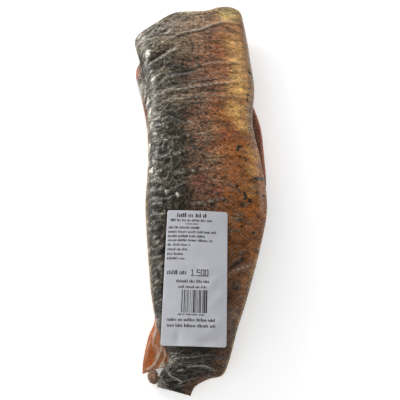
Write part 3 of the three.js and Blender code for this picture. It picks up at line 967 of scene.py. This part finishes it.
def film_inputs(make):
    """Clear film: nearly unseen where it lies tight, with painted highlights on its folds, painted glare in
    milky patches, and milky where it spans a gap, partly a painted highlight.
    """
    film = bpy.context.scene.salmon_film
    place = make.place()
    crumple = make.crumple(place, 3.2 * MM, make.mask("loose"))
    ragged = make.times(make.less(make.noise(place, per(3), 3, 0.6), 0.5), 1.6)
    # Whiteness painted as highlights on folds and crumples, painted glare in the milky patches, and milky
    # film over gaps
    haze = make.plus(make.times(make.mask("crest"), film.fold_highlight), film.haze,
                     make.times(crumple["Crests"], film.crumple_highlight),
                     make.times(make.mask("free"), film.free_haze),
                     make.step(make.plus(make.mask("milky"), ragged), 0.45, 0.8, film.patch_glare))
    uneven = make.plus(0.45, make.step(make.noise(place, per(2.5), 3, 0.6), 0.25, 0.75))
    return {"Base Color": film.tint, "Alpha": make.times(haze, uneven, clamp=True), "Roughness": 0.22,
            "Normal": make.bump(crumple["Height"], 0.8, 0.4 * MM), "Specular IOR Level": 0.6}


def seal_inputs(make):
    """Doubled film of the folded ends, with the fine ribs of the heat seal."""
    place, seal = make.place(), make.mask("seal")
    crumple = make.crumple(place, 6 * MM, 1.0)
    height = make.plus(crumple["Height"], make.times(make.wave(place, per(9), 0.2, bands="Y"), seal))
    haze = make.plus(make.times(seal, 0.3), 0.3, make.times(crumple["Crests"], 0.2), clamp=True)
    return {"Base Color": bpy.context.scene.salmon_film.tint, "Alpha": haze, "Roughness": 0.25,
            "Normal": make.bump(height, 0.7, 0.3 * MM)}


def paper_inputs(make):
    """Smooth label paper with faint fibre and a little grey from handling."""
    place = make.place()
    handled = make.mottle(bpy.context.scene.salmon_label.paper, place, 9 * MM, 0.05)
    return {"Base Color": make.mottle(handled, place, 0.6 * MM, 0.04), "Roughness": 0.5,
            "Normal": make.bump(make.noise(place, per(0.5), 3), 0.25, 0.05 * MM), "Specular IOR Level": 0.4}


def ink_inputs(make):
    """Thermal print: dark grey, and weaker in uneven patches."""
    label = bpy.context.scene.salmon_label
    weak = make.step(make.noise(make.place(), per(1.5), 3), 0.4, 0.75, 0.6)
    return {"Base Color": make.mix(weak, label.ink, label.faint_ink), "Roughness": 0.55}


def floor_inputs(make):
    """A plain pale floor with a little light of its own."""
    stage = bpy.context.scene.salmon_stage
    base = make.mottle(stage.floor, make.place(), 300 * MM, 0.004)
    return {"Base Color": base, "Roughness": 0.9, "Specular IOR Level": 0.1, "Emission Color": base,
            "Emission Strength": stage.floor_glow}


# Settings


def tone(name, description, *screen_colour):
    return bpy.props.FloatVectorProperty(name=name, description=description, subtype="COLOR", size=4, min=0,
                                         max=1, default=colour(*screen_colour))


def number(name, description, default, **kind):
    return bpy.props.FloatProperty(name=name, description=description, default=default, **kind)


LENGTH = {"unit": "LENGTH", "precision": 5}
SHARE = {"subtype": "FACTOR"}
POWER = {"unit": "POWER"}


class SalmonSkin(bpy.types.PropertyGroup):
    back: tone("Back", "Skin over the fish's back", 52, 46, 34)
    flank: tone("Flank", "Skin between the back and the belly", 128, 88, 66)
    belly: tone("Belly", "Smoked skin over the belly", 162, 102, 58)
    gold: tone("Gold", "Brightest smoke colour on the belly", 244, 190, 112)
    amber: tone("Amber", "Deeper smoke colour of the belly below the head end", 160, 94, 42)
    tan: tone("Tan", "Yellowish skin at the head end", 190, 168, 106)
    rim: tone("Rim", "Thin rim of gold along the sides", 154, 122, 74)
    margin: tone("Margin", "Thin edge of the belly", 134, 106, 76)
    # Shared by real pale flecks and painted glare
    bloom: tone("Bloom", "Pale flecks of scale and fat under the film", 188, 162, 130)
    blush: tone("Blush", "Red marks on the flank", 140, 60, 44)
    tail_back: tone("Tail back", "Skin of the tail", 28, 22, 11)
    tail_belly: tone("Tail belly", "Belly side of the tail", 124, 78, 40)
    spot: tone("Spot", "Black spots and shaded grooves", 26, 24, 20)


class SalmonFlesh(bpy.types.PropertyGroup):
    orange: tone("Orange", "Smoked flesh", 168, 80, 22)
    pink: tone("Pink", "Paler muscle and damp flesh", 168, 104, 62)
    # Pale paint for the highlight on the film's folds over the flesh
    pale: tone("Pale", "Milky folds over the flesh", 226, 206, 190)
    dark: tone("Dark", "Flesh in the shade of the upper fillet", 88, 38, 5)
    rim: tone("Rim", "Dry gold rim of the fillet", 150, 88, 34)


class SalmonFilm(bpy.types.PropertyGroup):
    tint: tone("Tint", "Colour of the film where it looks milky", 228, 221, 202)
    gap: number("Gap", "Distance from the fish to the film", 0.35 * MM, **LENGTH)
    haze: number("Haze", "How milky tight film is", 0.002, **SHARE)
    # Painted highlights: how white the film is made on its folds and on its fine crumples
    fold_highlight: number("Fold haze", "How milky folds are", 0.6, **SHARE)
    crumple_highlight: number("Crumple haze", "How milky fine crumples are", 0.14, **SHARE)
    # Partly painted glare: how white the milky patches are made
    patch_glare: number("Patch haze", "How milky loose patches are", 0.6, **SHARE)
    free_haze: number("Free haze", "How milky film is where it spans a gap", 0.02, **SHARE)


class SalmonLabel(bpy.types.PropertyGroup):
    paper: tone("Paper", "Label paper", 198, 199, 205)
    ink: tone("Ink", "Print", 30, 30, 33)
    faint_ink: tone("Faint ink", "Print where it is weak", 84, 84, 88)
    thickness: number("Thickness", "Paper thickness", 0.18 * MM, **LENGTH)
    lift: number("Lift", "Distance from the film to the paper", 0.15 * MM, **LENGTH)


class SalmonStage(bpy.types.PropertyGroup):
    floor: tone("Floor", "Floor", 250, 250, 250)
    floor_glow: number("Floor glow", "Light that the white floor adds", 0.4)
    key_power: number("Key power", "Power of the lamp beyond the head end's left corner", 16, **POWER)
    fill_power: number("Fill power", "Power of the low lamp on the right", 2, **POWER)
    head_panel_power: number("Head panel power", "Power of the low lamp beyond the head end", 3, **POWER)
    sky: number("Sky", "Strength of the soft light from the head end and the left", 1.5)
    tail_sky: number("Tail sky", "Strength of the band of soft light behind the camera", 0.8)
    zenith: number("Zenith", "Strength of the soft light from straight above", 0.2)


PROPERTIES = {"salmon_skin": SalmonSkin, "salmon_flesh": SalmonFlesh, "salmon_film": SalmonFilm,
              "salmon_label": SalmonLabel, "salmon_stage": SalmonStage}


# Pieces


def finish_piece(piece, material):
    """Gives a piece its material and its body."""
    piece.data.materials.append(material)
    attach(piece, "root")


def upper_relief(shares):
    """The folds' relief and masks over the upper fillet's grid of shares."""
    across, along = shares
    xy = UPPER.at(across, along).reshape(-1, 2)
    return [layer.reshape(across.shape) for layer in relief(xy[:, 0], xy[:, 1], across.ravel())]


class SALMON_OT_upper_fillet(bpy.types.Operator):
    """Build the upper fillet, skin side up"""
    bl_idname = "salmon.upper_fillet"
    bl_label = "Upper fillet"

    def execute(self, context):
        across, along = shares = share_grid(UPPER_LINES)
        rise, drop, _, groove = upper_relief(shares)
        top = upper_top(across, along, SKIN_FOLLOW * rise - drop)
        points, faces, side = closed_fillet(top, shares, upper_underside)
        x, y = points[:, 0], points[:, 1]
        back_rim = fade(side, 0.03, 0.01) * fade(y, -110, -90) * fade(y, 100, 85)
        belly_rim = fade(side, 0.965, 0.985) * fade(y, -30, -60)
        masks = {
            "across": side,
            "tailward": fade(y, 60, -140) ** 0.7,
            "margin": fade(side, 0.9, 0.98) * fade(y, 40, 90),
            "amber": fade(y, 130, 90),
            "daylit": 1 - 0.65 * fade(y, -50, -140),
            "gold": blobs_at(x, y, GOLDS),
            "tan": blobs_at(x, y, TANS),
            "blush": blobs_at(x, y, BLUSHES),
            "spots": spots_at(x, y),
            "specked": fade(side, 0.2, 0.35) * fade(side, 0.72, 0.62) * fade(y, -30, 10),
            # Painted shade below the folds and in the grooves
            "groove": np.concatenate([groove.ravel(), np.zeros(len(points) - groove.size)]),
            "loose": looseness(side),
            "rim": 0.8 * np.maximum(back_rim, belly_rim),
            # Painted glare: a pale wash over the head end and the glare patches
            "bloom": 0.5 * fade(y, 162, 184) * fade(side, 0.72, 0.42) + 0.6 * blobs_at(x, y, GLARE_PATCHES),
        }
        fillet = add_mesh("upper_fillet", points, faces, masks)
        finish_piece(fillet, new_material("smoked skin", skin_inputs))
        return {"FINISHED"}


class SALMON_OT_lower_fillet(bpy.types.Operator):
    """Build the lower fillet, skin side down"""
    bl_idname = "salmon.lower_fillet"
    bl_label = "Lower fillet"

    def execute(self, context):
        shares = share_grid(LOWER_LINES)
        inner = LOWER.fullness(*shares).ravel()
        top = lower_top(*shares).reshape(-1, 3)
        rise, crest = flesh_relief(top[:, 0], top[:, 1])
        top[:, 2] += 0.5 * inner * soft_noise(top[:, 0] / 6, top[:, 1] / 9, SEEDS["flesh"]) + rise
        points, faces, side = closed_fillet(top, shares, lower_underside)
        x, y, z = points.T
        below = np.zeros(len(points) - len(top))
        full = np.concatenate([inner, below])
        less_skin = np.where((y < 135) & (full < 0.5), 0.6, 1)
        masks = {
            "damp": fade(x, -44, -40) * fade(y, -108, -116),
            "crest": np.concatenate([crest, below]),
            "rim": fade(full, 0.3, 0.1) * fade(z, 3, 6),
            "shaded": fade(side, 0.55, 0.75) * fade(y, -60, 0) * (0.15 + 0.8 * fade(full, 0.35, 0.75)),
            "skin": np.max([
                np.where(np.arange(len(points)) < len(top), 0, fade(z, 6, 3)),
                fade(y, 60, 90) * fade(side, 0.3, 0.2) * (1 - blobs_at(x, y, FLESH_SHOWS)) * less_skin,
                fade(side, 0.6, 0.8) * fade(y, 42, 30),
            ], axis=0),
        }
        fillet = add_mesh("lower_fillet", points, faces, masks)
        finish_piece(fillet, new_material("smoked flesh", flesh_inputs))
        return {"FINISHED"}


class SALMON_OT_tail_tip(bpy.types.Operator):
    """Build the loose end of the lower fillet's tail"""
    bl_idname = "salmon.tail_tip"
    bl_label = "Tail tip"

    def execute(self, context):
        rings, sides = TAIL_TIP_GRID
        polar = np.linspace(0.02, math.pi - 0.02, rings)
        turn = np.linspace(0, 2 * math.pi, sides, endpoint=False)
        polar, turn = np.meshgrid(polar, turn, indexing="ij")
        ball = np.stack([np.sin(polar) * np.cos(turn), np.sin(polar) * np.sin(turn), -np.cos(polar)], -1)
        x, y, z = np.moveaxis(ball, -1, 0)
        dents = 1 + TAIL_TIP_DENTS * soft_noise(x * 3 + 7, y * 3 + z * 2, SEEDS["tail_tip"])
        x, y, z = np.moveaxis(ball * dents[..., None] * TAIL_TIP_HALF, -1, 0)
        points = np.stack([*turned(x, y, -TAIL_TIP_TURN), z], -1).reshape(-1, 3) + TAIL_TIP_AT
        faces = grid_faces(rings, sides, wrap=True)
        faces += [list(range(sides))[::-1], list(range((rings - 1) * sides, rings * sides))]
        ones = np.ones(len(points))
        # A little painted glare over the whole tip
        masks = {"across": 0.52 * ones, "daylit": ones, "loose": 0.5 * ones, "bloom": 0.15 * ones}
        tip = add_mesh("tail_tip", points, faces, masks)
        finish_piece(tip, bpy.data.materials["smoked skin"])
        return {"FINISHED"}


def tree_of(*names):
    """One search tree over the named pieces, to look straight up or down at them."""
    points, faces = [], []
    for name in names:
        mesh = bpy.data.objects[name].data
        first = len(points)
        points += [vertex.co[:] for vertex in mesh.vertices]
        faces += [[first + k for k in face.vertices] for face in mesh.polygons if len(face.vertices) < 5]
    return BVHTree.FromPolygons(points, faces)


def top_below(tree, x, y):
    """The height at which a line straight down first meets the tree, or None."""
    hit = tree.ray_cast(Vector(in_frame((x, y, ABOVE_ALL))), Vector((0, 0, -1)))[0]
    return None if hit is None else hit.z / MM


def film_side(upper_rim, lower_rim, gap):
    """Loops of film from the upper fillet's rim to the lower one's, lifted over whatever lies between."""
    lower, upper = tree_of("lower_fillet", "tail_tip"), tree_of("upper_fillet")
    loops = []
    for share in np.linspace(0, 1, FILM_SIDE_STEPS + 1)[1:]:
        loop = upper_rim * (1 - share) + lower_rim * share
        waist = FILM_WAIST * math.sin(math.pi * share)
        for point in loop:
            covered = upper.ray_cast(Vector(in_frame(point)), Vector((0, 0, 1)))[0] is not None
            held = None if covered else top_below(lower, point[0], point[1])
            point[2] = max(point[2] - waist, FILM_BOTTOM if held is None else held + gap)
        loops.append(loop)
    return loops


class SALMON_OT_film(bpy.types.Operator):
    """Build the clear film round both fillets"""
    bl_idname = "salmon.film"
    bl_label = "Film"

    def execute(self, context):
        gap = context.scene.salmon_film.gap / MM
        across, along = shares = share_grid(UPPER_LINES)
        rise, drop, crest, _ = upper_relief(shares)
        top = upper_top(across, along, rise - drop)
        top = top + gap * grid_normals(top)
        rim, rim_shares = rim_order(*across.shape), rim_shares_of(shares)
        lower_rim = lower_top(*rim_shares)
        outward = lower_rim[:, :2] - FILM_MIDDLE
        lower_rim[:, :2] += gap * outward / np.linalg.norm(outward, axis=1)[:, None]
        points, faces = [top.reshape(-1, 3)], grid_faces(*across.shape)
        loop = add_rings(points, faces, rim, film_side(points[0][rim], lower_rim, gap))
        close_below(points, faces, loop, rim_shares,
                    lambda *place: lower_underside(*place, FILM_BOTTOM))
        points = np.concatenate(points)
        x, y, z = points.T
        side = slice(across.size, across.size + FILM_SIDE_STEPS * len(rim))
        free, folded, loose = np.zeros((3, len(points)))
        # Film spanning a gap is milky, more so where a painted highlight lies on it
        free[side] = 1 + GAP_SHINE * blobs_at(x[side], y[side], GAPS)
        # Painted highlights on the fold crests, over the fish and over the flesh at the side
        folded[:across.size] = crest.ravel()
        folded[side] = flesh_relief(x[side], y[side])[1]
        loose[:] = SIDE_LOOSENESS
        loose[:across.size] = looseness(across).ravel()
        # Milky film at the back's edge, partly painted glare
        milky = blobs_at(x, y, MILKY_GLARE) * (z > MILKY_ABOVE)
        masks = {"crest": folded, "loose": loose, "free": free, "milky": milky}
        film = add_mesh("film", points, faces, masks)
        finish_piece(film, new_material("clear film", film_inputs))
        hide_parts("sealed_pack")
        return {"FINISHED"}


class SALMON_OT_end_flaps(bpy.types.Operator):
    """Build the sealed ends of the film, folded flat under the pack"""
    bl_idname = "salmon.end_flaps"
    bl_label = "End flaps"

    def execute(self, context):
        material = new_material("sealed film", seal_inputs)
        for name, corners in END_FLAPS.items():
            low_left, high_left, high_right, low_right = np.array(corners, float)
            u, v = np.meshgrid(*(np.linspace(0, 1, count) for count in FLAP_GRID))
            left = low_left + (high_left - low_left) * v[..., None]
            right = low_right + (high_right - low_right) * v[..., None]
            xy = left + (right - left) * u[..., None]
            x, y = xy[..., 0], xy[..., 1]
            ripple = FLAP_RIPPLE * np.abs(soft_noise(x / 9, y / 6, SEEDS["flaps"]))
            free_end = np.minimum(np.abs(y - high_left[1]), np.abs(y - high_right[1]))
            sheets = [lifted(xy, height + ripple).reshape(-1, 3) for height in FLAP_HEIGHTS]
            seal = np.exp(-(((free_end - SEAL_FROM_END) / (SEAL_WIDTH / 2)) ** 6)).ravel()
            flap = add_mesh(name, np.concatenate(sheets), sheet_faces(u.shape), {"seal": np.tile(seal, 2)})
            finish_piece(flap, material)
        return {"FINISHED"}


class LabelSheet:
    """The label's surface: a stiff sheet that follows the film, with soft buckles, over its own u and v."""

    def __init__(self, lift):
        film = tree_of("film")
        self.u = np.linspace(-0.5, 0.5, LABEL_REST_GRID[0]) * LABEL["width"]
        self.v = np.linspace(-0.5, 0.5, LABEL_REST_GRID[1]) * LABEL["length"]
        u, v = np.meshgrid(self.u, self.v)
        x, y = self.plan(u, v)
        heights = np.zeros(u.shape)
        for k in np.ndindex(u.shape):
            heights[k] = top_below(film, x[k], y[k]) or 0
        rest = height_at(LABEL_REST, y) - LABEL_CROSS_CURVE * (x - LABEL["at"][0]) ** 2
        sheet = np.maximum(heights, rest)
        for _ in range(LABEL_STIFFNESS):
            padded = np.pad(sheet, 1, mode="reflect", reflect_type="odd")
            blurred = (padded[:-2, 1:-1] + padded[2:, 1:-1] + padded[1:-1, :-2] + padded[1:-1, 2:]) / 4
            sheet = np.maximum(blurred, heights)
        for bu, bv, length, width, turn, height in BUCKLES:
            run, side = turned(u - bu, v - bv, turn)
            sheet = sheet + height * bell(run, length) * bell(side, width)
        self.heights = sheet + lift

    def plan(self, u, v):
        x, y = turned(u, v, -LABEL["turn"])
        return LABEL["at"][0] + x, LABEL["at"][1] + y

    def points(self, u, v, above=0.0):
        """Points on the sheet, or so many millimetres above it."""
        i = np.clip((u - self.u[0]) / (self.u[1] - self.u[0]), 0, len(self.u) - 1.001)
        j = np.clip((v - self.v[0]) / (self.v[1] - self.v[0]), 0, len(self.v) - 1.001)
        m, n = i.astype(int), j.astype(int)
        s, t = i - m, j - n
        low = self.heights[n, m] * (1 - s) + self.heights[n, m + 1] * s
        high = self.heights[n + 1, m] * (1 - s) + self.heights[n + 1, m + 1] * s
        x, y = self.plan(u, v)
        return np.stack([x, y, low * (1 - t) + high * t + above], -1)


def rounded_half_width(v):
    """Half the label's width at v, less what its rounded corners take."""
    into_end = LABEL["length"] / 2 - np.abs(v)
    missing = np.clip(LABEL["corner"] - into_end, 0, LABEL["corner"])
    return LABEL["width"] / 2 - LABEL["corner"] + np.sqrt(LABEL["corner"] ** 2 - missing**2)


def print_marks(draw):
    """Stand-in print as rectangles on the label: u and v of the lower left corner, width and height."""
    marks = []
    for top, left, right, height, pitch in TEXT_LINES:
        u = left
        while u < right:
            for _ in range(draw.integers(*WORD_LETTERS)):
                if u > right:
                    break
                tall = height * draw.choice(LETTER_HEIGHTS)
                marks.append((u, top - height, pitch * draw.uniform(*LETTER_WIDTHS), tall))
                u += pitch
            u += WORD_GAP * pitch
    marks += figure_marks()
    u = BARS["left"]
    while u < BARS["right"]:
        width = BARS["module"] * draw.choice(BAR_MODULES)
        marks.append((u, BARS["bottom"], width, BARS["top"] - BARS["bottom"]))
        u += width + BARS["module"] * draw.choice(GAP_MODULES)
    return marks


def figure_marks():
    """Rectangles for the figures' strokes, each half a stroke longer than its ends."""
    marks = []
    u, half = FIGURES["left"], FIGURES["stroke"] / 2
    for figure in FIGURES["text"]:
        for strokes in FIGURE_STROKES[figure]:
            x0, x1 = (u + strokes[k] * FIGURES["width"] / 2 for k in (0, 2))
            y0, y1 = (FIGURES["bottom"] + strokes[k] * FIGURES["height"] / 4 for k in (1, 3))
            marks.append((x0 - half, y0 - half, x1 - x0 + 2 * half, y1 - y0 + 2 * half))
        u += FIGURES["pitch"] * (FIGURES["dot_pitch"] if figure == "." else 1)
    return marks


class SALMON_OT_label(bpy.types.Operator):
    """Build the paper label and its stand-in print"""
    bl_idname = "salmon.label"
    bl_label = "Label"

    def execute(self, context):
        label = context.scene.salmon_label
        sheet = LabelSheet(label.lift / MM + label.thickness / MM)
        columns, rows = LABEL_GRID
        s, v = np.meshgrid(np.linspace(-1, 1, columns), self.corner_lines(LABEL["length"] / 2, rows))
        u = s * rounded_half_width(v)
        sides = [sheet.points(u, v, above).reshape(-1, 3) for above in (0, -label.thickness / MM)]
        paper = add_mesh("label_paper", np.concatenate(sides), sheet_faces(s.shape))
        finish_piece(paper, new_material("label paper", paper_inputs))
        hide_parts("label")
        points, faces = [], []
        for left, low, width, height in print_marks(np.random.default_rng(SEEDS["print"])):
            steps = max(2, int(height / 2) + 1)
            v_steps = np.linspace(low, low + height, steps)
            for side in (left, left + width):
                points.append(sheet.points(np.full(steps, side), v_steps, PRINT_LIFT))
            first = sum(len(block) for block in points) - 2 * steps
            across = first + steps
            faces += [(first + k, across + k, across + k + 1, first + k + 1) for k in range(steps - 1)]
        ink = add_mesh("label_print", np.concatenate(points), faces, smooth_faces=False)
        finish_piece(ink, new_material("label ink", ink_inputs))
        return {"FINISHED"}

    @staticmethod
    def corner_lines(half, count):
        """Rows from end to end, close together where the corners are rounded."""
        near = LABEL["corner"] * (1 - np.cos(np.linspace(0, math.pi / 2, CORNER_ROWS + 1)))
        inner = np.linspace(-half + LABEL["corner"], half - LABEL["corner"], count - 2 * CORNER_ROWS)
        return np.concatenate([-half + near[:-1], inner, half - near[-2::-1]])


def area_lamp(name, at, size, power, target):
    """A rectangular lamp that faces its target."""
    lamp = bpy.data.lights.new(name, "AREA")
    lamp.shape = "RECTANGLE"
    lamp.size, lamp.size_y = size
    lamp.energy = power
    made = bpy.data.objects.new(name, lamp)
    made.location = at
    made.rotation_euler = (Vector(target) - Vector(at)).to_track_quat("-Z", "Y").to_euler()
    bpy.context.scene.collection.objects.link(made)


class SALMON_OT_stage(bpy.types.Operator):
    """Build the floor, the lamps and the camera"""
    bl_idname = "salmon.stage"
    bl_label = "Stage"

    def execute(self, context):
        stage = context.scene.salmon_stage
        corners = [(x * FLOOR_HALF, y * FLOOR_HALF, 0) for x, y in ((-1, -1), (1, -1), (1, 1), (-1, 1))]
        floor = add_mesh("floor", corners, [(0, 1, 2, 3)], smooth_faces=False)
        floor.data.materials.append(new_material("floor", floor_inputs))
        for name, (at, size, target) in LAMPS.items():
            area_lamp(name, at, size, getattr(stage, name + "_power"), target)
        world = bpy.data.worlds.new("even light")
        world.use_nodes = True
        make = Nodes(world.node_tree)
        make.feed(world.node_tree.nodes["Background"],
                  {"Color": (1, 1, 1, 1), "Strength": self.sky_strength(make, stage)})
        context.scene.world = world
        context.scene.view_settings.view_transform = "Standard"
        self.add_camera(context)
        return {"FINISHED"}

    @staticmethod
    def sky_strength(make, stage):
        """Soft light from the head end and the left, dim overhead, with a band of it behind the camera."""
        ray = make.add("ShaderNodeTexCoord").outputs["Generated"]
        way = make.add("ShaderNodeSeparateXYZ", {0: ray}).outputs
        headward = make.plus(make.step(make.less(way["Y"], way["X"]), -0.5, 1.2, 0.85), 0.15)
        low = make.times(make.step(way["Z"], 0.85, 0.35), headward, stage.sky - stage.zenith)
        behind = make.times(make.step(way["Y"], -0.05, -0.3),
                            make.step(way["Y"], -0.75, -0.45, stage.tail_sky))
        return make.plus(low, stage.zenith, behind)

    @staticmethod
    def add_camera(context):
        camera = bpy.data.objects.new("camera", bpy.data.cameras.new("camera"))
        camera.data.lens = VIEW_LENS
        camera.data.sensor_width = VIEW_SENSOR
        back = np.array([0, -math.sin(VIEW_TILT), math.cos(VIEW_TILT)]) * VIEW_DISTANCE
        camera.location = in_frame(back + [0, 0, VIEW_MIDDLE_HEIGHT])
        camera.rotation_euler = (VIEW_TILT, 0, 0)
        camera.data.clip_start, camera.data.clip_end = VIEW_CLIP
        context.scene.collection.objects.link(camera)
        context.scene.camera = camera


class SALMON_PT_pack(bpy.types.Panel):
    """The pack's pieces and settings"""
    bl_idname = "SALMON_PT_pack"
    bl_label = "Salmon pack"
    bl_space_type = "VIEW_3D"
    bl_region_type = "UI"
    bl_category = "Salmon pack"

    def draw(self, context):
        for operator in OPERATORS:
            self.layout.operator(operator.bl_idname)
        for name, group in PROPERTIES.items():
            box = self.layout.box()
            for key in group.__annotations__:
                box.prop(getattr(context.scene, name), key)


OPERATORS = (SALMON_OT_upper_fillet, SALMON_OT_lower_fillet, SALMON_OT_tail_tip, SALMON_OT_film,
             SALMON_OT_end_flaps, SALMON_OT_label, SALMON_OT_stage)


def register():
    for made in (*PROPERTIES.values(), *OPERATORS, SALMON_PT_pack):
        bpy.utils.register_class(made)
    for name, group in PROPERTIES.items():
        setattr(bpy.types.Scene, name, bpy.props.PointerProperty(type=group))


def unregister():
    for name in PROPERTIES:
        delattr(bpy.types.Scene, name)
    for made in (SALMON_PT_pack, *reversed(OPERATORS), *reversed(PROPERTIES.values())):
        bpy.utils.unregister_class(made)


def main():
    register()
    build_crumple_group()
    build_mottle_group()
    for operator in OPERATORS:
        area, name = operator.bl_idname.split(".")
        getattr(getattr(bpy.ops, area), name)()


if __name__ == "__main__":
    main()
